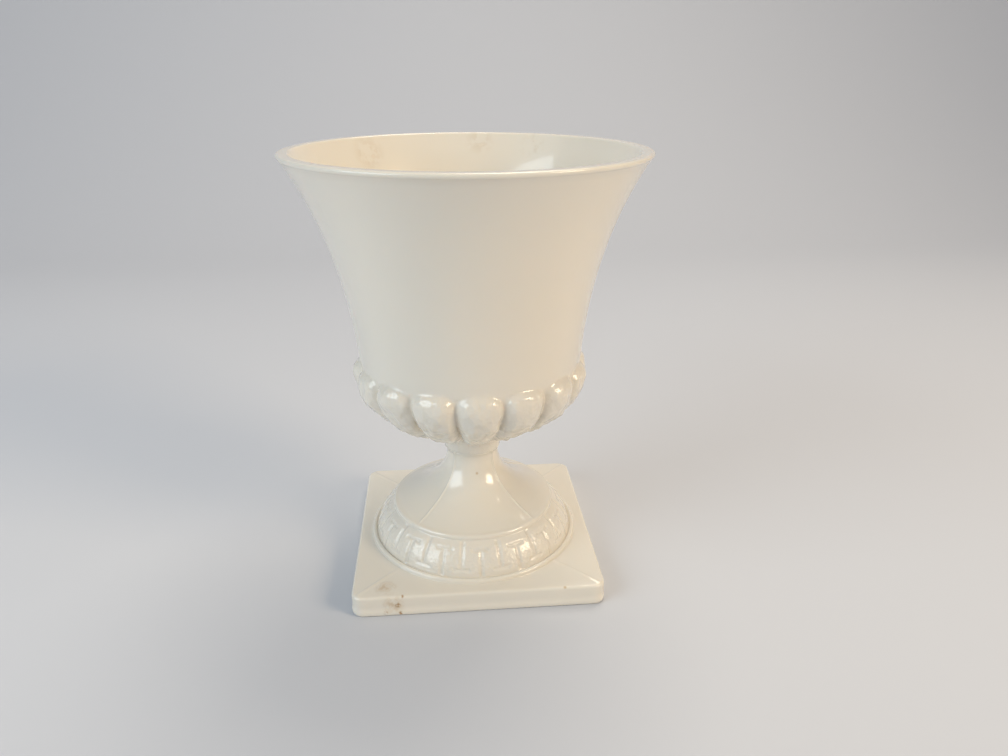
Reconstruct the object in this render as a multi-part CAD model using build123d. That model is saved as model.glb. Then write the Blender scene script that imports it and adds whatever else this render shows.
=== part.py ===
from build123d import *
import os
from math import cos, radians, sin

os.makedirs("parts", exist_ok=True)

# Footed urn vase, pressed in opal glass: a flared cup with sixteen lobes round its bottom,
# joined hot at the neck to a pedestal with a domed foot and a square plinth.
# Millimetres, +Z up, origin in the middle of the underside, one plinth side square to -Y.
# Outlines are drawn as (radius, height) and turned about the axis.

# Whole vase
HEIGHT = 162.3
RIM_R = 65.0
LOBES = 16
PITCH = 360 / LOBES

# Neck, where the two pressings meet face to face
NECK_Z = 46.8
NECK_R = 11.2

# Cup, outside. The core is the part of it that the lobes hide.
CORE_R = 31.0
CORE_Z = 61.0
TURN_R = 41.55
TURN_Z = 73.0
WAIST_R = 42.7
WAIST_Z = 87.8
FLARE_MID_R = 49.6
FLARE_MID_Z = 125.4
FLARE_R = 64.1
FLARE_SLOPE = 28.3
LIP_H = 1.6
LIP_DRAFT = 0.2
LIP_BEVEL = 0.6

# Cup, inside
MOUTH_R = 60.5
INNER_MID_R = 45.5
INNER_MID_Z = 125.4
INNER_WAIST_R = 38.1
INNER_TURN_R = 36.8
INNER_TURN_Z = 74.0
FLOOR_EDGE_R = 24.0
FLOOR_EDGE_Z = 58.5
FLOOR_R = 10.0
FLOOR_Z = 55.5

# Lobes: each is a round bar let into the cup, given by its centre line and its coned top
LOBE_R = 8.9
LOBE_CONE_H = 5.9
LOBE_CONE_R = 4.4
LOBE_TOP_R = 36.9
LOBE_TOP_Z = 79.8
LOBE_FALL_R = 36.6
LOBE_FALL_Z = 75.7
LOBE_TURN_R = 32.8
LOBE_TURN_Z = 67.7
LOBE_END_R = 8.3
LOBE_END_Z = 55.9

# Stem and dome
STEM_R = 10.4
STEM_Z = 44.6
FLARE_STEM_R = 16.5
FLARE_STEM_Z = 31.9
DOME_R = 31.7
DOME_Z = 24.3
RING_R = 32.9
RING_Z = 22.6

# Key-fret band, and the bead outside it on the plinth
BAND_FOOT_R = 39.8
BAND_FOOT_Z = 10.7
BAND_CROWN = 1.9
BEAD_BEVEL = 0.8
FOOT_R = 41.4

# Fret: a T and an upturned T in each pitch, sunk in the band
FRET_DEPTH = 0.7
FRET_STEM_W = 1.3
FRET_BAR_W = 6.4
FRET_BAR_H = 0.9
FRET_BAR_FROM_END = 3.3
FRET_END_GAP = 0.5

# Plinth
PLINTH_W = 95.5
PLINTH_H = 8.6
PLINTH_CORNER = 4.5
PLINTH_DRAFT = 1.0
PLINTH_TOP_BEVEL = 0.8
PLINTH_FOOT_BEVEL = 1.6

# Hollow underside: a shallow square recess inside the rim that the vase stands on, then a dome
REST_RIM = 6.5
RECESS_DEPTH = 3.2
RECESS_CORNER = 3.0
HOLLOW_R = 36.0
HOLLOW_WALL_R = 34.2
HOLLOW_WALL_Z = 9.0
HOLLOW_SHOULDER_R = 26.0
HOLLOW_SHOULDER_Z = 20.0
HOLLOW_TOP_R = 9.0
HOLLOW_TOP_Z = 26.5

STEPS = 3
CUT_PAST = 1.0


def turned(*lines):
    """Spins a closed half outline about +Z."""
    return revolve(Plane.XZ * make_face(Curve() + list(lines)), Axis.Z)


def onward(line, end):
    """An arc that leaves the end of a line smoothly and stops at a point."""
    return TangentArc(line @ 1, end, tangent=line % 1)


def in_steps(line):
    """The same line in a few straight steps, so that each turns into a plain cone."""
    return Polyline([line @ (step / STEPS) for step in range(STEPS + 1)])


def flared(wall, middle, end):
    """The curve that carries a wall on from its top, through a point, to the slope at the lip."""
    slope = radians(FLARE_SLOPE)
    return Spline(wall @ 1, middle, end, tangents=(wall % 1, (sin(slope), cos(slope))))


def cup_outside():
    """The cup with no hollow and no lobes, up to the top of its lip."""
    wall = Line((TURN_R, TURN_Z), (WAIST_R, WAIST_Z))
    flare = flared(wall, (FLARE_MID_R, FLARE_MID_Z), (FLARE_R, HEIGHT - LIP_H))
    lip = Polyline(
        flare @ 1,
        (RIM_R, HEIGHT - LIP_H + LIP_DRAFT),
        (RIM_R, HEIGHT - LIP_BEVEL),
        (RIM_R - LIP_BEVEL, HEIGHT),
        (0, HEIGHT),
    )
    core = Polyline((0, HEIGHT), (0, NECK_Z), (NECK_R, NECK_Z), (CORE_R, CORE_Z), wall @ 0)
    return turned(wall, flare, lip, core)


def cup_inside():
    """The room inside the cup: floor, dished corner, near-straight wall, flare and mouth."""
    wall = Line((INNER_TURN_R, INNER_TURN_Z), (INNER_WAIST_R, WAIST_Z))
    flare = flared(wall, (INNER_MID_R, INNER_MID_Z), (MOUTH_R, HEIGHT - LIP_BEVEL))
    top_z = HEIGHT + CUT_PAST
    mouth = Polyline(flare @ 1, (MOUTH_R + LIP_BEVEL + CUT_PAST, top_z), (0, top_z), (0, FLOOR_Z))
    floor = Polyline((0, FLOOR_Z), (FLOOR_R, FLOOR_Z), (FLOOR_EDGE_R, FLOOR_EDGE_Z))
    corner = TangentArc(wall @ 0, floor @ 1, tangent=wall @ 0 - wall @ 1)
    return turned(wall, flare, mouth, floor, in_steps(corner))


def lobe_path():
    """The centre line of a lobe's round bar, from its top down and in to the neck."""
    fall = Line((LOBE_TOP_R, LOBE_TOP_Z), (LOBE_FALL_R, LOBE_FALL_Z))
    turn = onward(fall, (LOBE_TURN_R, LOBE_TURN_Z))
    under = onward(turn, (LOBE_END_R, LOBE_END_Z))
    return Plane.XZ * (Curve() + [fall, in_steps(turn), in_steps(under)])


def lobe():
    """One gadroon along +X: a mitred round bar with a coned top, cut to its share of the turn."""
    path = Wire(lobe_path().edges())
    top = Plane(origin=path @ 0, z_dir=path % 0)
    bar = sweep(top * Circle(LOBE_R), path, transition=Transition.RIGHT)
    cone = loft([top * Circle(LOBE_R), top.offset(-LOBE_CONE_H) * Circle(LOBE_CONE_R)], ruled=True)
    edge = Vector(2 * RIM_R, 0, 0).rotate(Axis.Z, PITCH / 2)
    share = extrude(make_face(Polyline((0, 0), edge, (edge.X, -edge.Y), (0, 0))), amount=HEIGHT)
    return (bar + cone & share) - Cylinder(NECK_R, 2 * HEIGHT)


def make_cup():
    body = cup_outside() + PolarLocations(0, LOBES) * lobe()
    return body - cup_inside()


def band_line(depth):
    """The band's convex line from foot to ring, moved inwards by a depth."""
    run = Vector(RING_R - BAND_FOOT_R, RING_Z - BAND_FOOT_Z)
    outward = Vector(run.Y, -run.X) / run.length
    foot = Vector(BAND_FOOT_R, BAND_FOOT_Z) - outward * depth
    return in_steps(SagittaArc(foot, foot + run, -BAND_CROWN))


def pedestal_outside():
    """Stem, dome, ring, convex band and outer bead, as one turned form."""
    neck = Line((NECK_R, NECK_Z), (STEM_R, STEM_Z))
    stem = TangentArc(neck @ 1, (FLARE_STEM_R, FLARE_STEM_Z), tangent=(0, -1))
    dome = onward(stem, (DOME_R, DOME_Z))
    ring = Polyline((DOME_R, DOME_Z), (RING_R, DOME_Z), (RING_R, RING_Z))
    bead = Polyline(
        (BAND_FOOT_R, BAND_FOOT_Z),
        (FOOT_R - BEAD_BEVEL, BAND_FOOT_Z),
        (FOOT_R, BAND_FOOT_Z - BEAD_BEVEL),
        (FOOT_R, RECESS_DEPTH),
        (0, RECESS_DEPTH),
        (0, NECK_Z),
        (NECK_R, NECK_Z),
    )
    return turned(neck, in_steps(stem), in_steps(dome), ring, band_line(0), bead)


def fret_cutters():
    """The sunk Ts: a thin skin of the band, kept only where the Ts are."""
    inner = band_line(FRET_DEPTH)
    outer = band_line(-CUT_PAST)
    skin = turned(inner, Line(inner @ 1, outer @ 1), outer, Line(outer @ 0, inner @ 0))
    run = Vector(RING_R - BAND_FOOT_R, 0, RING_Z - BAND_FOOT_Z)
    middle = Vector(BAND_FOOT_R, 0, BAND_FOOT_Z) + run / 2
    face = Plane(origin=middle, x_dir=(0, 1, 0), z_dir=(run.Z, 0, -run.X))
    half = run.length / 2
    bar_y = half - FRET_BAR_FROM_END
    stem_length = half + bar_y - FRET_END_GAP
    tee = Pos(0, bar_y) * Rectangle(FRET_BAR_W, FRET_BAR_H)
    tee += Pos(0, bar_y - stem_length / 2) * Rectangle(FRET_STEM_W, stem_length)
    upright = extrude(face * tee, amount=BAND_CROWN + CUT_PAST, both=True)
    upturned = extrude(face * Rot(0, 0, 180) * tee, amount=BAND_CROWN + CUT_PAST, both=True)
    pair = upright + Rot(0, 0, PITCH / 2) * upturned
    return Rot(0, 0, PITCH / 4) * skin & Part() + PolarLocations(0, LOBES) * pair


def plinth():
    """The square block, a little narrower at the top, with soft edges."""
    outline = RectangleRounded(PLINTH_W, PLINTH_W, PLINTH_CORNER)
    block = extrude(outline, amount=PLINTH_H, taper=PLINTH_DRAFT)
    block = chamfer(block.edges().group_by(Axis.Z)[-1], PLINTH_TOP_BEVEL)
    return chamfer(block.edges().group_by(Axis.Z)[0], PLINTH_FOOT_BEVEL)


def underside():
    """What the plunger left open underneath: a square recess and a round dome above it."""
    width = PLINTH_W - 2 * REST_RIM
    recess = extrude(RectangleRounded(width, width, RECESS_CORNER), amount=RECESS_DEPTH)
    hollow = Polyline(
        (0, 0),
        (HOLLOW_R, 0),
        (HOLLOW_WALL_R, HOLLOW_WALL_Z),
        (HOLLOW_SHOULDER_R, HOLLOW_SHOULDER_Z),
        (HOLLOW_TOP_R, HOLLOW_TOP_Z),
        (0, HOLLOW_TOP_Z),
        (0, 0),
    )
    return recess + turned(hollow)


def make_pedestal():
    return plinth() + pedestal_outside() - underside() - fret_cutters()


export_step(make_cup(), "parts/cup.step")
export_step(make_pedestal(), "parts/pedestal.step")
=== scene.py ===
from math import atan2, cos, degrees, hypot, pi, radians, sin, sqrt, tan

import bmesh
import bpy
from bpy.props import FloatProperty, FloatVectorProperty, IntProperty, PointerProperty
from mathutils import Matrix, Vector, noise
from mathutils.geometry import interpolate_bezier


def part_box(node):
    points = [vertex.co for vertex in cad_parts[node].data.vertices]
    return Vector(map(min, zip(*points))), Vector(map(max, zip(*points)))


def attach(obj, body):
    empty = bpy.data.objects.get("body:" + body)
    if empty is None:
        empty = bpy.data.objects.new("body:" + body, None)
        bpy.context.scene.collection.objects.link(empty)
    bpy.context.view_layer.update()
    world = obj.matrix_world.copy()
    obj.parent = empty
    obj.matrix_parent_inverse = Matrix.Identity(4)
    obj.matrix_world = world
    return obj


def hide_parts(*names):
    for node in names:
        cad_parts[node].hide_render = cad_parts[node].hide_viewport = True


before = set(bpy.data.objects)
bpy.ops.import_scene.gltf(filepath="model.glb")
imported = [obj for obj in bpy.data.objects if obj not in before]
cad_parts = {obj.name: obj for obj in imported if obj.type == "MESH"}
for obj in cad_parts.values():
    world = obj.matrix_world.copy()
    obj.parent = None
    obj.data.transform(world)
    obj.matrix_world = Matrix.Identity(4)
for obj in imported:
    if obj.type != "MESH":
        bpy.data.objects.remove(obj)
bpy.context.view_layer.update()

bl_info = {
    "name": "Opal Glass Urn",
    "version": (1, 0, 0),
    "blender": (4, 5, 0),
    "location": "View3D > Sidebar > Urn",
    "description": "Models a pressed opal-glass urn on a square plinth, with its finish and its stage",
    "category": "Add Mesh",
}

# The frame's own axes: +Z up, the origin under the middle of the plinth, -Y at the front.
# An outline is drawn in millimetres as (radius, height) and spun about +Z.
MM = 0.001
# The visual pieces stay this much inside the CAD box
HAIR = 0.01
CUP_LOW, CUP_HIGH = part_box("cup")
FOOT_LOW, FOOT_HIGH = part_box("pedestal")
RIM_R = min(CUP_HIGH.x, CUP_HIGH.y, -CUP_LOW.x, -CUP_LOW.y) / MM - HAIR
HEIGHT = CUP_HIGH.z / MM
NECK_Z = CUP_LOW.z / MM
PLINTH_HALF = min(FOOT_HIGH.x, FOOT_HIGH.y, -FOOT_LOW.x, -FOOT_LOW.y) / MM - HAIR
NECK_R = 11.2

LOBES = 16
PITCH = 2 * pi / LOBES
# Lobes and fret sit this much off square to the plinth
PATTERN_TURN = radians(1.7)
SEAMS = 4
SEAM_PITCH = 2 * pi / SEAMS

# Headings of an outline, in degrees above straight out
UP, DOWN, OUT, INWARD = 90, -90, 0, 180


class CupSizes(bpy.types.PropertyGroup):
    wall: FloatProperty(name="Wall", description="Glass at the rim, mm", default=4.5, min=2)
    lip: FloatProperty(name="Lip", description="Height of the lip, mm", default=1.5, min=0.5)
    lobe_height: FloatProperty(
        name="Lobe height", description="How far a lobe stands off the cup, mm", default=3.7, min=0
    )
    lobe_top: FloatProperty(
        name="Lobe top", description="Height of the lobes' arched tops, mm", default=85.4
    )
    arch: FloatProperty(
        name="Arch", description="Length over which a lobe's top rounds over, mm", default=6.2, min=1
    )
    lumps: FloatProperty(
        name="Lumps", description="Unevenness of the pressed lobes, mm", default=0.7, min=0
    )
    steps: IntProperty(name="Steps", description="Columns round the cup", default=480, min=64)


class FootSizes(bpy.types.PropertyGroup):
    fret_depth: FloatProperty(
        name="Fret depth", description="How deep the key fret is sunk, mm", default=0.45, min=0
    )
    fret_soft: FloatProperty(
        name="Fret softness", description="Rounding of the fret's edges, mm", default=0.6, min=0.1
    )
    seam_height: FloatProperty(
        name="Seam height", description="How proud the four mould seams are, mm", default=0.32, min=0
    )
    seam_width: FloatProperty(
        name="Seam width", description="Half the width of a mould seam, mm", default=0.6, min=0.1
    )
    plinth_corner: FloatProperty(
        name="Plinth corner", description="Rounding of the plinth's upright corners, mm", default=4.5
    )
    steps: IntProperty(name="Steps", description="Columns round the foot", default=640, min=64)


class GlassFinish(bpy.types.PropertyGroup):
    milk: FloatVectorProperty(
        name="Milk", description="Colour of the glass", subtype="COLOR", default=(0.80, 0.755, 0.66)
    )
    # This colour darkens the cup's lobe grooves as painted shade and tints the real grime on the
    # pedestal
    grime_and_groove_shade: FloatVectorProperty(
        name="Grime", description="Colour of what sits in the grooves", subtype="COLOR",
        default=(0.46, 0.29, 0.10),
    )
    stain: FloatVectorProperty(
        name="Stain", description="Colour of the spot on the plinth", subtype="COLOR",
        default=(0.36, 0.18, 0.035),
    )
    gloss: FloatProperty(
        name="Roughness", description="Roughness of the glass", default=0.22, min=0, max=1,
        subtype="FACTOR",
    )


class StageSettings(bpy.types.PropertyGroup):
    floor: FloatVectorProperty(
        name="Floor", description="Colour of the floor", subtype="COLOR", default=(0.60, 0.62, 0.66)
    )
    cool: FloatProperty(
        name="Cool lamp", description="Power of the lamp on the left", default=6.0, unit="POWER"
    )
    warm: FloatProperty(
        name="Warm lamp", description="Power of the lamp on the right", default=6.0, unit="POWER"
    )
    top: FloatProperty(
        name="Top lamp", description="Power of the lamp above and behind", default=4.5, unit="POWER"
    )


# A bend that turns less than this, in radians, is drawn straight
STRAIGHT = 0.01
# Points closer than this to each other or to the axis are one point, in millimetres
SAME = 0.001


class Outline:
    """Half an outline, walked in millimetres; headings are degrees above straight out."""

    def __init__(self, radius, height):
        self.points = []
        self.rows = {}
        self.heading = OUT
        self.squareness = 0.0
        self.corner = 0.0
        self.add(radius, height)

    def add(self, radius, height):
        self.points.append((radius, height, self.squareness, self.corner))

    def mark(self, name):
        """Notes which row the walk has reached."""
        self.rows[name] = len(self.points) - 1

    def line(self, radius, height, count=1):
        """Straight on to a point, in equal parts."""
        start = Vector(self.points[-1][:2])
        end = Vector((radius, height))
        for part in range(1, count + 1):
            self.add(*start.lerp(end, part / count))
        self.heading = degrees(atan2(end.y - start.y, end.x - start.x))

    def bend(self, radius, height, heading, count, leave=None):
        """A smooth curve to a point, arriving at a heading."""
        start = Vector(self.points[-1][:2])
        end = Vector((radius, height))
        leave = radians(self.heading if leave is None else leave)
        arrive = radians(heading)
        turn = abs((arrive - leave + pi) % (2 * pi) - pi)
        reach = (end - start).length / 3
        if turn > STRAIGHT:
            reach *= 2 * tan(turn / 4) / sin(turn / 2)
        first = start + reach * Vector((cos(leave), sin(leave)))
        second = end - reach * Vector((cos(arrive), sin(arrive)))
        for point in interpolate_bezier(start, first, second, end, count + 1)[1:]:
            self.add(*point)
        self.heading = heading

    def squared(self, squareness, corner):
        """From here on the rings are this square, with this corner radius."""
        self.squareness = squareness
        self.corner = corner

    def normals(self):
        """The outward direction at each point, to the left of the walk."""
        spots = [Vector(point[:2]) for point in self.points]
        result = []
        for before, after in zip([spots[0]] + spots, spots[1:] + [spots[-1]]):
            run = after - before
            result.append(Vector((-run.y, run.x)).normalized())
        return result

    def lengths(self, first, last):
        """How far along the walk each row is, from one row to another."""
        along = {first: 0.0}
        for index in range(first + 1, last + 1):
            step = Vector(self.points[index][:2]) - Vector(self.points[index - 1][:2])
            along[index] = along[index - 1] + step.length
        return along


def across_square(half, corner, angle):
    """Distance from the middle to a square outline with rounded corners, at an angle."""
    fold = abs((angle + pi / 4) % (pi / 2) - pi / 4)
    if half * tan(fold) <= half - corner:
        return half / cos(fold)
    middle = sqrt(2) * (half - corner)
    off = pi / 4 - fold
    return middle * cos(off) + sqrt(max(corner ** 2 - (middle * sin(off)) ** 2, 0))


def spun(outline, steps):
    """Spins an outline into a closed skin and gives the mesh and its row layer."""
    mesh = bmesh.new()
    row = mesh.verts.layers.int.new("row")
    line = []
    for index, point in enumerate(outline.points):
        vertex = mesh.verts.new((point[0] * MM, 0, point[1] * MM))
        vertex[row] = index
        line.append(vertex)
    edges = [mesh.edges.new(pair) for pair in zip(line, line[1:])]
    bmesh.ops.spin(
        mesh, geom=line + edges, cent=(0, 0, 0), axis=(0, 0, 1),
        angle=2 * pi, steps=steps, use_merge=True,
    )
    poles = [vertex for vertex in mesh.verts if hypot(vertex.co.x, vertex.co.y) < SAME * MM]
    bmesh.ops.remove_doubles(mesh, verts=poles, dist=SAME * MM)
    for vertex in mesh.verts:
        radius, height, squareness, corner = outline.points[vertex[row]]
        if squareness > 0:
            square = across_square(radius, corner, atan2(vertex.co.y, vertex.co.x))
            stretch = 1 + squareness * (square / radius - 1)
            vertex.co.x *= stretch
            vertex.co.y *= stretch
    bmesh.ops.recalc_face_normals(mesh, faces=mesh.faces)
    return mesh, row


def move_out(vertex, normal, distance):
    """Moves a vertex along its row's outward direction, by a distance in millimetres."""
    flat = hypot(vertex.co.x, vertex.co.y)
    vertex.co.x += vertex.co.x / flat * normal.x * distance * MM
    vertex.co.y += vertex.co.y / flat * normal.x * distance * MM
    vertex.co.z += normal.y * distance * MM


# Edges bent more than this stay sharp
SHARP = radians(60)


def finished(mesh, name, node, material):
    """Makes a named piece of a mesh; it takes a CAD node's place on the one body."""
    data = bpy.data.meshes.new(name)
    mesh.to_mesh(data)
    mesh.free()
    data.shade_smooth()
    data.set_sharp_from_angle(angle=SHARP)
    data.materials.append(material)
    piece = bpy.data.objects.new(name, data)
    bpy.context.scene.collection.objects.link(piece)
    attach(piece, "root")
    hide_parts(node)


# Cup, outside, from the lip down
LIP_FLAT = 1.3
LIP_ROUND = 0.8
LIP_UNDER_R, LIP_UNDER_Z = 0.35, 0.1
LIP_HEADING = -125
LIP_STEP_R, LIP_STEP_Z = 0.85, 0.5
LIP_STEP_TURN = 60
FLARE_SLOPE = 61.7
WAIST_R, WAIST_Z = 42.7, 87.8
WALL_HEADING = -94.4
TURN_R, TURN_Z = 41.5, 80.0
CALYX_R, CALYX_Z = 31.3, 66.2
CALYX_HEADING = -148.5
NAPE_R, NAPE_Z = 18.4, 58.3
COLLAR_Z = 50.5
JOINT_ROUND = 0.2

# Cup, inside, from the middle of the floor up
FLOOR_Z = 60.5
FLOOR_EDGE_R, FLOOR_EDGE_Z = 24.0, 66.2
FLOOR_EDGE_HEADING = 31
INNER_TURN_R, INNER_TURN_Z = 36.95, 80.0
INNER_WALL_HEADING = 84.6
INNER_WAIST_R = 38.1
MOUTH_EASE = 0.3
MOUTH_ROUND = 0.9

# Lobes: powers that square off their sides, arch their tops, round their shoulders and
# fade them out at the neck, and the sizes of the lumps in them
LOBE_SQUARE = 2.8
LOBE_ARCH = 2.4
LOBE_SHOULDER = 0.65
LOBE_FADE = 4
GROOVE_NARROW = 12
LUMP = 4.5
DIMPLE = 1.9
DIMPLE_SHARE = 0.7
LUMP_STRETCH = 2
TOP_SOFTENING = 3


def cup_outline(sizes):
    """The cup from the floor inside, over the lip, down to the neck."""
    mouth_r = RIM_R - sizes.wall
    lip_z = HEIGHT - sizes.lip
    line = Outline(0, FLOOR_Z)
    line.bend(FLOOR_EDGE_R, FLOOR_EDGE_Z, FLOOR_EDGE_HEADING, 10)
    line.bend(INNER_TURN_R, INNER_TURN_Z, INNER_WALL_HEADING, 16)
    line.line(INNER_WAIST_R, WAIST_Z, 4)
    line.bend(mouth_r - MOUTH_EASE, lip_z, FLARE_SLOPE, 26)
    line.bend(mouth_r + MOUTH_ROUND, HEIGHT, OUT, 6)
    line.line(RIM_R - LIP_FLAT, HEIGHT, 2)
    line.bend(RIM_R, HEIGHT - LIP_ROUND, DOWN, 6)
    line.bend(RIM_R - LIP_UNDER_R, lip_z - LIP_UNDER_Z, LIP_HEADING, 3)
    line.bend(RIM_R - LIP_STEP_R, lip_z - LIP_STEP_Z, -FLARE_SLOPE - LIP_STEP_TURN, 2)
    line.bend(WAIST_R, WAIST_Z, WALL_HEADING, 30)
    line.mark("waist")
    top_r = TURN_R + (WAIST_R - TURN_R) * (sizes.lobe_top - TURN_Z) / (WAIST_Z - TURN_Z)
    line.line(top_r, sizes.lobe_top, 4)
    line.mark("lobe top")
    line.line(TURN_R, TURN_Z, 14)
    line.bend(CALYX_R, CALYX_Z, CALYX_HEADING, 34)
    line.line(NAPE_R, NAPE_Z, 20)
    line.bend(NECK_R, COLLAR_Z, DOWN, 18)
    line.mark("lobe end")
    line.line(NECK_R, NECK_Z + JOINT_ROUND, 3)
    line.bend(NECK_R - JOINT_ROUND, NECK_Z, INWARD, 2)
    line.line(0, NECK_Z, 3)
    return line


def lobe_rise(along, length, across, sizes):
    """Height of a lobe in millimetres, at a distance down from its top and -1 to 1 across."""
    top = max(1 - along / sizes.arch, 0)
    spread = abs(across) ** LOBE_SQUARE + top ** LOBE_ARCH
    if spread >= 1:
        return 0.0
    fade = 1 - (along / length) ** LOBE_FADE
    return sizes.lobe_height * fade * (1 - spread) ** LOBE_SHOULDER


def unevenness(place):
    """The lumps and dimples of pressed glass, about -1 to 1, drawn out in height."""
    stretched = Vector((place.x, place.y, place.z / LUMP_STRETCH)) / MM
    return noise.noise(stretched / LUMP) + DIMPLE_SHARE * noise.noise(stretched / DIMPLE)


def raise_lobes(mesh, row, outline, sizes, grime_and_groove_shade):
    """Pushes the sixteen lobes out of the lower cup, and notes the grooves between them for painted
    shade.
    """
    normals = outline.normals()
    waist, start, end = (outline.rows[name] for name in ("waist", "lobe top", "lobe end"))
    along = outline.lengths(start, end)
    soft = []
    for vertex in mesh.verts:
        index = vertex[row]
        if not waist <= index <= end:
            continue
        angle = atan2(vertex.co.y, vertex.co.x) - PATTERN_TURN
        across = 2 * ((angle / PITCH + 0.5) % 1) - 1
        down = along.get(index, 0.0)
        rise = 0.0
        groove = 0.0
        if index > start:
            rise = lobe_rise(down, along[end], across, sizes)
            groove = abs(across) ** GROOVE_NARROW
        rise += sizes.lumps * unevenness(vertex.co) * min(rise / 2, 1)
        move_out(vertex, normals[index], rise)
        # The groove mask is painted shade between the lobes, fading out towards their tops
        vertex[grime_and_groove_shade] = groove * min(down / sizes.arch, 1)
        if down < 2 * sizes.arch:
            soft.append(vertex)
    for _ in range(TOP_SOFTENING):
        bmesh.ops.smooth_vert(
            mesh, verts=soft, factor=0.5, use_axis_x=True, use_axis_y=True, use_axis_z=True
        )


class URN_OT_cup(bpy.types.Operator):
    """Makes the flared cup with its rounded lip and its ring of sixteen lobes"""
    bl_idname = "urn.cup"
    bl_label = "Cup"

    def execute(self, context):
        sizes = context.scene.urn_cup
        outline = cup_outline(sizes)
        mesh, row = spun(outline, sizes.steps)
        # On the cup this layer holds the painted shade in the grooves between the lobes
        grime_and_groove_shade = mesh.verts.layers.float.new("grime_and_groove_shade")
        raise_lobes(mesh, row, outline, sizes, grime_and_groove_shade)
        finished(mesh, "urn_cup", "cup", cup_glass(context.scene.urn_finish))
        return {"FINISHED"}


# Stem, dome and ring
NECK_ROUND = 0.15
NECK_HEADING = -118
STEM_R, STEM_Z = 10.4, 44.6
STEM_FOOT_R, STEM_FOOT_Z = 16.5, 31.9
STEM_FOOT_HEADING = -42
DOME_R, DOME_Z = 31.7, 23.3
DOME_HEADING = -19
RING_TOP = 1.0
RING_FALL = 0.5
RING_R, RING_Z = 32.9, 21.6
RING_EASE = 0.1
RING_FOOT = 0.4

# Key-fret band, and the bead outside it
BAND_R, BAND_Z = 40.5, 9.8
BAND_SWELL = 22
BEAD_GROOVE_R, BEAD_GROOVE_Z = 0.2, 0.1
BEAD_R = 42.5
BEAD_FALL = 0.5
BEAD_HEADING = 65
BEAD_FOOT = 0.35
FRET_STEM = 1.35
FRET_BAR = 6.4
FRET_BAR_H = 0.95
FRET_TOP_GAP = 3.7
FRET_FOOT_GAP = 2.9
FRET_PAST = 1.0
FRET_EASE = 0.5

# Plinth, and the hollow under it
PLINTH_TOP = 8.6
PLINTH_EDGE = 1.1
PLINTH_EDGE_FALL = 1.0
PLINTH_DRAFT = 0.15
PARTING_Z = 2.6
PARTING_H = 0.2
FOOT_EDGE = 1.2
FOOT_EDGE_Z = 1.1
REST_RIM = 6.5
RECESS = 3.2
RECESS_ROUND = 0.4
HOLLOW_R = 36.0
HOLLOW_FLAT = 0.5
HOLLOW_EASE_R, HOLLOW_EASE_Z = 0.3, 0.6
HOLLOW_WALL_R, HOLLOW_WALL_Z = 34.2, 9.0
HOLLOW_SHOULDER_R, HOLLOW_SHOULDER_Z = 26.0, 20.0
HOLLOW_TOP = 26.5


def foot_top(line):
    """From the neck down the stem and dome, over the ring and the band, to the bead's foot."""
    line.line(NECK_R - NECK_ROUND, NECK_Z, 2)
    line.bend(NECK_R, NECK_Z - NECK_ROUND, DOWN, 2)
    line.mark("neck")
    line.bend(STEM_R, STEM_Z, DOWN, 5, leave=NECK_HEADING)
    line.bend(STEM_FOOT_R, STEM_FOOT_Z, STEM_FOOT_HEADING, 14)
    line.bend(DOME_R, DOME_Z, DOME_HEADING, 14)
    line.mark("ring")
    line.bend(DOME_R + RING_TOP, DOME_Z - RING_FALL, -60, 4, leave=4)
    line.bend(RING_R - RING_EASE, RING_Z, -110, 4)
    line.bend(RING_R + RING_EASE, RING_Z - RING_FOOT, -60, 2)
    line.mark("band top")
    slope = degrees(atan2(BAND_Z - RING_Z, BAND_R - RING_R))
    line.bend(BAND_R, BAND_Z, slope - BAND_SWELL, 42, leave=slope + BAND_SWELL)
    line.mark("band foot")
    line.bend(BAND_R + BEAD_GROOVE_R, BAND_Z - BEAD_GROOVE_Z, OUT, 2)
    line.bend(BEAD_R, BAND_Z - BEAD_FALL, DOWN, 8, leave=BEAD_HEADING)
    line.bend(BEAD_R + BEAD_FOOT, PLINTH_TOP, OUT, 4)
    line.mark("bead foot")


def foot_block(line, corner):
    """From the bead's foot, over the square plinth and under it, to the top of the hollow."""
    half = PLINTH_HALF
    round_r = BEAD_R + BEAD_FOOT
    for share in (0.25, 0.5, 0.75):
        line.squared(share, corner)
        line.line(round_r + share * (half - PLINTH_EDGE - round_r), PLINTH_TOP)
    line.squared(1.0, corner)
    line.line(half - PLINTH_EDGE, PLINTH_TOP)
    line.mark("plinth edge")
    line.bend(half - PLINTH_DRAFT, PLINTH_TOP - PLINTH_EDGE_FALL, DOWN, 5)
    line.line(half - PLINTH_DRAFT, PARTING_Z + PARTING_H, 3)
    line.line(half, PARTING_Z)
    line.line(half, FOOT_EDGE_Z)
    line.bend(half - FOOT_EDGE, 0, INWARD, 6)
    inner = half - REST_RIM
    line.line(inner + RECESS_ROUND, 0, 2)
    line.bend(inner, RECESS_ROUND, UP, 3)
    line.line(inner, RECESS - RECESS_ROUND)
    line.bend(inner - RECESS_ROUND, RECESS, INWARD, 3)
    line.squared(0.5, corner)
    line.line((inner + HOLLOW_R) / 2, RECESS)
    line.squared(0.0, corner)
    line.line(HOLLOW_R + HOLLOW_FLAT, RECESS)
    line.bend(HOLLOW_R - HOLLOW_EASE_R, RECESS + HOLLOW_EASE_Z, 100, 3)
    line.bend(HOLLOW_WALL_R, HOLLOW_WALL_Z, 101, 2)
    line.bend(HOLLOW_SHOULDER_R, HOLLOW_SHOULDER_Z, 145, 6)
    line.bend(0, HOLLOW_TOP, INWARD, 10)


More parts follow.
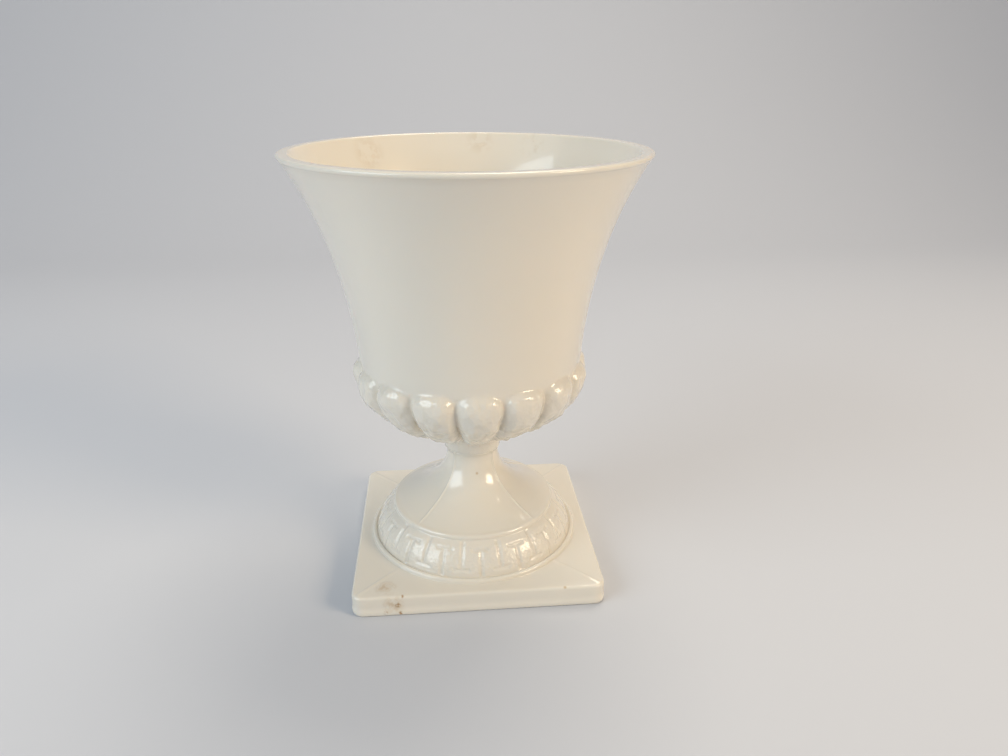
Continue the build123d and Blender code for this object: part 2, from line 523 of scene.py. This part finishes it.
def foot_outline(sizes):
    """The pedestal from the neck down its outside, over the plinth, and up into the hollow."""
    line = Outline(0, NECK_Z)
    foot_top(line)
    foot_block(line, sizes.plinth_corner)
    return line


def box_gap(x, y, width, height):
    """Distance outside a box about the origin; below zero inside it."""
    return max(abs(x) - width / 2, abs(y) - height / 2)


def tee_gap(x, y, bar, foot):
    """Distance outside a T: a bar across at height bar, and a stem from it to height foot."""
    stem = box_gap(x, y - (bar + foot) / 2, FRET_STEM, abs(bar - foot))
    return min(stem, box_gap(x, y - bar, FRET_BAR, FRET_BAR_H))


def fret_sink(angle, radius, height, length, soft):
    """How far the fret is sunk there, 0 to 1: a T on each pitch, an upturned T between them."""
    turn = (angle / PITCH + 0.5) % 1 - 0.5
    x = turn * PITCH * radius
    between = (turn - (0.5 if turn > 0 else -0.5)) * PITCH * radius
    upright = tee_gap(x, height, length - FRET_TOP_GAP, -FRET_PAST)
    upturned = tee_gap(between, height, FRET_FOOT_GAP, length + FRET_PAST)
    share = min(max(0.5 - min(upright, upturned) / (2 * soft), 0), 1)
    return share * share * (3 - 2 * share)


def seam_rise(angle, radius, sizes):
    """Height of the mould seams, which lie on the plinth's diagonals."""
    off = abs((angle / SEAM_PITCH) % 1 - 0.5) * SEAM_PITCH
    return sizes.seam_height * max(1 - off * radius / sizes.seam_width, 0)


def press_pattern(mesh, row, outline, sizes, grime_and_groove_shade):
    """Sinks the key fret in the band and raises the mould seams."""
    normals = outline.normals()
    rows = outline.rows
    along = outline.lengths(rows["band top"], rows["band foot"])
    length = along[rows["band foot"]]
    for vertex in mesh.verts:
        index = vertex[row]
        angle = atan2(vertex.co.y, vertex.co.x)
        radius = hypot(vertex.co.x, vertex.co.y) / MM
        on_dome = rows["neck"] < index < rows["ring"]
        on_plinth = rows["bead foot"] < index <= rows["plinth edge"]
        if index in along:
            height = length - along[index]
            sink = fret_sink(angle - PATTERN_TURN, radius, height, length, sizes.fret_soft)
            edge = min(along[index], height, FRET_EASE) / FRET_EASE
            move_out(vertex, normals[index], -sizes.fret_depth * sink * edge)
            vertex[grime_and_groove_shade] = sink
        elif on_dome or on_plinth:
            move_out(vertex, normals[index], seam_rise(angle, radius, sizes))


class URN_OT_pedestal(bpy.types.Operator):
    """Makes the stem, dome, key-fret band and square plinth, hollow underneath"""
    bl_idname = "urn.pedestal"
    bl_label = "Pedestal"

    def execute(self, context):
        sizes = context.scene.urn_foot
        outline = foot_outline(sizes)
        mesh, row = spun(outline, sizes.steps)
        grime_and_groove_shade = mesh.verts.layers.float.new("grime_and_groove_shade")
        press_pattern(mesh, row, outline, sizes, grime_and_groove_shade)
        finished(mesh, "urn_pedestal", "pedestal", foot_glass(context.scene.urn_finish))
        return {"FINISHED"}


class Number:
    """A value on a socket of a finish; sums and products of it add Math nodes."""

    def __init__(self, finish, socket):
        self.finish = finish
        self.socket = socket

    def maths(self, operation, *values):
        """This number and others through one Math node."""
        sockets = dict(enumerate((self, *values)))
        return self.finish.number("ShaderNodeMath", {"operation": operation}, sockets)

    def __add__(self, other):
        return self.maths("ADD", other)

    __radd__ = __add__

    def __mul__(self, other):
        return self.maths("MULTIPLY", other)

    __rmul__ = __mul__

    def __rsub__(self, other):
        return self * -1 + other

    def above(self, low, high):
        """0 below low, 1 above high, smooth between."""
        return self.finish.number(
            "ShaderNodeMapRange",
            {"interpolation_type": "SMOOTHSTEP"},
            {"Value": self, "From Min": low, "From Max": high},
        )


class Finish:
    """A material whose nodes are added one at a time."""

    def __init__(self, name):
        self.material = bpy.data.materials.new(name)
        self.material.use_nodes = True
        self.tree = self.material.node_tree
        self.tree.nodes.clear()
        self.place = self.node("ShaderNodeTexCoord").outputs["Object"]

    def node(self, kind, settings=None, sockets=None):
        """Adds a node, sets it up, then fills or links its sockets."""
        node = self.tree.nodes.new(kind)
        for name, value in (settings or {}).items():
            setattr(node, name, value)
        for key, value in (sockets or {}).items():
            socket = node.inputs[key]
            if isinstance(value, Number):
                value = value.socket
            if isinstance(value, bpy.types.NodeSocket):
                self.tree.links.new(value, socket)
            else:
                socket.default_value = value
        return node

    def number(self, kind, settings=None, sockets=None, output=0):
        """Adds a node and gives the number that comes out of it."""
        return Number(self, self.node(kind, settings, sockets).outputs[output])

    def cloud(self, scale, upright=1.0):
        """Noise of about 0 to 1, scale lumps to the metre; upright draws them out in height."""
        place = self.node(
            "ShaderNodeMapping", None, {"Vector": self.place, "Scale": (1, 1, 1 / upright)}
        )
        sockets = {"Vector": place.outputs["Vector"], "Scale": scale, "Detail": 2.0}
        return self.number("ShaderNodeTexNoise", None, sockets)

    def near(self, spot, radius):
        """1 at a spot on the object, falling to 0 at a radius, both in metres."""
        gap = self.number(
            "ShaderNodeVectorMath", {"operation": "DISTANCE"}, {0: self.place, 1: spot}, "Value"
        )
        return 1 - gap.above(MARK_CORE * radius, radius)

    def marks(self, spots):
        """1 at any of a list of small spots: their places and their radii, in millimetres."""
        total = 0.0
        for *spot, radius in spots:
            total = self.near([MM * part for part in spot], MM * radius) + total
        return total.maths("MINIMUM", 1.0)

    def height(self):
        """How high the point is, in metres."""
        return self.number("ShaderNodeSeparateXYZ", None, {0: self.place}, "Z")

    def pressed(self):
        """How deep the point lies in a groove or in the fret."""
        return self.number("ShaderNodeAttribute", {"attribute_name": "grime_and_groove_shade"}, None, "Fac")

    def tinted(self, share, first, second):
        """One colour, turning to another where share is 1; sockets 6 and 7 take the colours."""
        mix = self.node("ShaderNodeMix", {"data_type": "RGBA"}, {0: share, 6: first, 7: second})
        return mix.outputs[2]


# The cloudier parts of the glass, and how much they show
CLOUDY = (0.77, 0.71, 0.60)
CLOUDY_SHARE = 0.3

# Marks on the glass: each is x, y, z and radius, in millimetres
MARK_CORE = 0.2
PLINTH_BLOTCH = ((-32, -47.7, 5, 5), (-35, -42, 8.6, 5))
PLINTH_STAIN = (
    (-30.5, -47.7, 5, 1.6),
    (-35, -47.7, 1.8, 1.1),
    (-29.5, -47.7, 1.4, 1.2),
    (-28.8, -47, 8.4, 1),
)
FOOT_SPECKS = (
    (31.9, -47.1, 8.5, 0.9),
    (-14.4, -22.2, 26.2, 0.6),
    (-5.3, -30.3, 24.4, 0.6),
    (1.2, -11.6, 38.5, 0.8),
)
CUP_SPECKS = ((22.3, -50.3, 139.5, 0.5),)
CUP_SMUDGES = ((-38, 44, 156, 9), (30, 52, 157, 7), (8, 61, 158, 8))

# How strongly each mark shows, where 1 hides the glass
# Painted shade in the grooves between the lobes; the marks after it are dirt and stains
GROOVE_SHADE = 0.22
SMUDGE_DIRT = 0.2
CUP_SPECK_DIRT = 0.7
FRET_DIRT = 0.07
BLOTCH_DIRT = 0.45
STAIN_DIRT = 0.8
FOOT_SPECK_DIRT = 0.6
DARKENING_ROUGHNESS = 0.35

# Fine relief: its full height in metres, and the shares of it on each part
RIPPLE_HEIGHT = 0.1 * MM
SMOOTH_RIPPLE = 0.15
LOBE_RIPPLE = 3.0
LOBE_STREAKS = 2.4
BAND_STIPPLE = 3.6


def rgba(colour):
    """A colour as a node's socket takes it."""
    return (*colour, 1.0)


def milky(finish, look):
    """The glass's own colour, a little cloudy."""
    return finish.tinted(CLOUDY_SHARE * finish.cloud(28), rgba(look.milk), rgba(CLOUDY))


def opal_glass(finish, look, colour, darkening, ripple):
    """The milky pressed glass that every piece is made of."""
    # Darkened places are rougher; on the cup they include the painted shade in the lobe grooves
    rough = look.gloss + DARKENING_ROUGHNESS * darkening
    bump = finish.node(
        "ShaderNodeBump", None, {"Strength": 1.0, "Distance": RIPPLE_HEIGHT, "Height": ripple}
    )
    glass = finish.node(
        "ShaderNodeBsdfPrincipled",
        {"subsurface_method": "RANDOM_WALK"},
        {
            "Base Color": colour,
            "Roughness": rough,
            "IOR": 1.5,
            "Subsurface Weight": 0.25,
            "Subsurface Radius": (1.0, 0.85, 0.65),
            "Subsurface Scale": 2.5 * MM,
            "Coat Weight": 0.6,
            "Coat Roughness": 0.05,
            "Normal": bump.outputs["Normal"],
        },
    )
    finish.node("ShaderNodeOutputMaterial", None, {"Surface": glass.outputs["BSDF"]})
    return finish.material


def cup_glass(look):
    """Smooth above and rippled on the lobes, with painted shade in the grooves between them, smudges
    inside the mouth and a speck outside.
    """
    finish = Finish("opal glass, cup")
    lobed = 1 - finish.height().above(0.083, 0.088)
    smudged = finish.marks(CUP_SMUDGES) * finish.cloud(240).above(0.42, 0.6) * SMUDGE_DIRT
    specks = finish.marks(CUP_SPECKS) * CUP_SPECK_DIRT
    # Painted shade in the lobe grooves, plus dirty smudges and a speck
    darkening = (finish.pressed() * GROOVE_SHADE + smudged + specks).maths("MINIMUM", 1.0)
    colour = finish.tinted(darkening, milky(finish, look), rgba(look.grime_and_groove_shade))
    ripples = LOBE_RIPPLE * finish.cloud(480) + LOBE_STREAKS * finish.cloud(420, upright=3.0)
    relief = SMOOTH_RIPPLE * finish.cloud(120) + lobed * ripples
    return opal_glass(finish, look, colour, darkening, relief)


def foot_glass(look):
    """Smooth dome and plinth, stippled band, one brown stain on the plinth and a few specks."""
    finish = Finish("opal glass, pedestal")
    height = finish.height()
    banded = height.above(0.0105, 0.0125) * (1 - height.above(0.0195, 0.0212))
    faint = finish.pressed() * finish.cloud(160).above(0.5, 0.75) * FRET_DIRT
    blotch = finish.marks(PLINTH_BLOTCH) * finish.cloud(420).above(0.35, 0.6) * BLOTCH_DIRT
    stained = finish.marks(PLINTH_STAIN) * finish.cloud(900).above(0.4, 0.55) * STAIN_DIRT
    specks = finish.marks(FOOT_SPECKS) * FOOT_SPECK_DIRT
    darkening = (faint + specks + blotch).maths("MINIMUM", 1.0)
    colour = finish.tinted(darkening, milky(finish, look), rgba(look.grime_and_groove_shade))
    colour = finish.tinted(stained, colour, rgba(look.stain))
    relief = SMOOTH_RIPPLE * finish.cloud(120) + banded * BAND_STIPPLE * finish.cloud(900)
    return opal_glass(finish, look, colour, darkening, relief)


# Camera, in the frame's metres, with its turns in degrees
CAMERA_PLACE = (-0.0110, -0.2764, 0.1907)
CAMERA_LENS = 27.13
CAMERA_SENSOR = 36.0
CAMERA_DOWN = 22.73
CAMERA_RIGHT = 4.97

# Stage, in metres: the floor runs back, curves up and goes on as a wall
FLOOR_SIDE = 3.0
FLOOR_FRONT = -1.5
FLOOR_DEPTH = 2.0
SWEEP_R = 0.5
WALL_H = 2.0
LAMPS_AIM_Z = 0.09
ROOM_COLOUR = (0.95, 0.96, 1.0)
ROOM_LIGHT = 0.36
COOL_COLOUR = (0.84, 0.94, 1.0)
WARM_COLOUR = (1.0, 0.80, 0.56)
TOP_COLOUR = (1.0, 0.90, 0.76)


def matt_paint(colour):
    """A flat colour for the floor and the wall behind."""
    finish = Finish("backdrop")
    paint = finish.node("ShaderNodeBsdfPrincipled", None, {"Base Color": colour, "Roughness": 0.9})
    finish.node("ShaderNodeOutputMaterial", None, {"Surface": paint.outputs["BSDF"]})
    return finish.material


def lamp(name, azimuth, elevation, distance, size, power, colour):
    """A soft square lamp that looks at the middle of the vase."""
    data = bpy.data.lights.new(name, "AREA")
    data.size = size
    data.energy = power
    data.color = colour
    light = bpy.data.objects.new(name, data)
    side = radians(azimuth)
    lift = radians(elevation)
    away = Vector((sin(side) * cos(lift), -cos(side) * cos(lift), sin(lift)))
    light.location = Vector((0, 0, LAMPS_AIM_Z)) + away * distance
    light.rotation_euler = away.to_track_quat("Z", "Y").to_euler()
    bpy.context.scene.collection.objects.link(light)
    return light


def made(result, kind):
    """The new parts of one kind that a mesh operator gave back."""
    return [item for item in result["geom"] if isinstance(item, kind)]


def backdrop(colour):
    """One sheet that is the floor, curves up behind and goes on as a wall."""
    mesh = bmesh.new()
    front = mesh.edges.new([mesh.verts.new((x, FLOOR_FRONT, 0)) for x in (-FLOOR_SIDE, FLOOR_SIDE)])
    floor = bmesh.ops.extrude_edge_only(mesh, edges=[front])
    bmesh.ops.translate(mesh, verts=made(floor, bmesh.types.BMVert), vec=(0, FLOOR_DEPTH, 0))
    back = FLOOR_FRONT + FLOOR_DEPTH
    bmesh.ops.spin(
        mesh, geom=made(floor, bmesh.types.BMEdge), cent=(0, back, SWEEP_R),
        axis=(1, 0, 0), angle=pi / 2, steps=24,
    )
    wall_y = back + SWEEP_R - MM
    top = [edge for edge in mesh.edges if all(vertex.co.y > wall_y for vertex in edge.verts)]
    wall = bmesh.ops.extrude_edge_only(mesh, edges=top)
    bmesh.ops.translate(mesh, verts=made(wall, bmesh.types.BMVert), vec=(0, 0, WALL_H))
    data = bpy.data.meshes.new("backdrop")
    mesh.to_mesh(data)
    mesh.free()
    data.shade_smooth()
    data.materials.append(matt_paint(rgba(colour)))
    sheet = bpy.data.objects.new("backdrop", data)
    bpy.context.scene.collection.objects.link(sheet)
    return sheet


def room_light():
    """Soft even light from all round."""
    world = bpy.data.worlds.new("room")
    world.use_nodes = True
    sky = world.node_tree.nodes["Background"]
    sky.inputs["Color"].default_value = rgba(ROOM_COLOUR)
    sky.inputs["Strength"].default_value = ROOM_LIGHT
    return world


def photo_camera():
    """The camera, as the photograph was taken."""
    data = bpy.data.cameras.new("camera")
    data.lens = CAMERA_LENS
    data.sensor_width = CAMERA_SENSOR
    camera = bpy.data.objects.new("camera", data)
    camera.location = CAMERA_PLACE
    camera.rotation_euler = (radians(90 - CAMERA_DOWN), 0, radians(-CAMERA_RIGHT))
    bpy.context.scene.collection.objects.link(camera)
    return camera


class URN_OT_stage(bpy.types.Operator):
    """Sets out the floor, the backdrop, the lamps and the camera"""
    bl_idname = "urn.stage"
    bl_label = "Stage"

    def execute(self, context):
        settings = context.scene.urn_stage
        cool = lamp("cool lamp", -62, 24, 1.1, 0.7, settings.cool, COOL_COLOUR)
        warm = lamp("warm lamp", 58, 26, 1.1, 0.35, settings.warm, WARM_COLOUR)
        top = lamp("top lamp", 150, 66, 1.0, 0.5, settings.top, TOP_COLOUR)
        backdrop(settings.floor)
        context.scene.world = room_light()
        context.scene.camera = photo_camera()
        context.scene.view_settings.view_transform = "Standard"
        return {"FINISHED"}


class URN_PT_panel(bpy.types.Panel):
    """Lists the vase's pieces and their sizes"""
    bl_label = "Urn"
    bl_idname = "URN_PT_panel"
    bl_space_type = "VIEW_3D"
    bl_region_type = "UI"
    bl_category = "Urn"

    def draw(self, context):
        scene = context.scene
        rows = (
            (scene.urn_cup, "urn.cup"),
            (scene.urn_foot, "urn.pedestal"),
            (scene.urn_finish, None),
            (scene.urn_stage, "urn.stage"),
        )
        for group, operator in rows:
            box = self.layout.box()
            for name in group.bl_rna.properties.keys():
                if name not in {"rna_type", "name"}:
                    box.prop(group, name)
            if operator:
                box.operator(operator)


GROUPS = {
    "urn_cup": CupSizes,
    "urn_foot": FootSizes,
    "urn_finish": GlassFinish,
    "urn_stage": StageSettings,
}
CLASSES = (*GROUPS.values(), URN_OT_cup, URN_OT_pedestal, URN_OT_stage, URN_PT_panel)


def register():
    for kind in CLASSES:
        bpy.utils.register_class(kind)
    for name, kind in GROUPS.items():
        setattr(bpy.types.Scene, name, PointerProperty(type=kind))


def unregister():
    for name in GROUPS:
        delattr(bpy.types.Scene, name)
    for kind in reversed(CLASSES):
        bpy.utils.unregister_class(kind)


def main():
    register()
    bpy.ops.urn.cup()
    bpy.ops.urn.pedestal()
    bpy.ops.urn.stage()


if __name__ == "__main__":
    main()
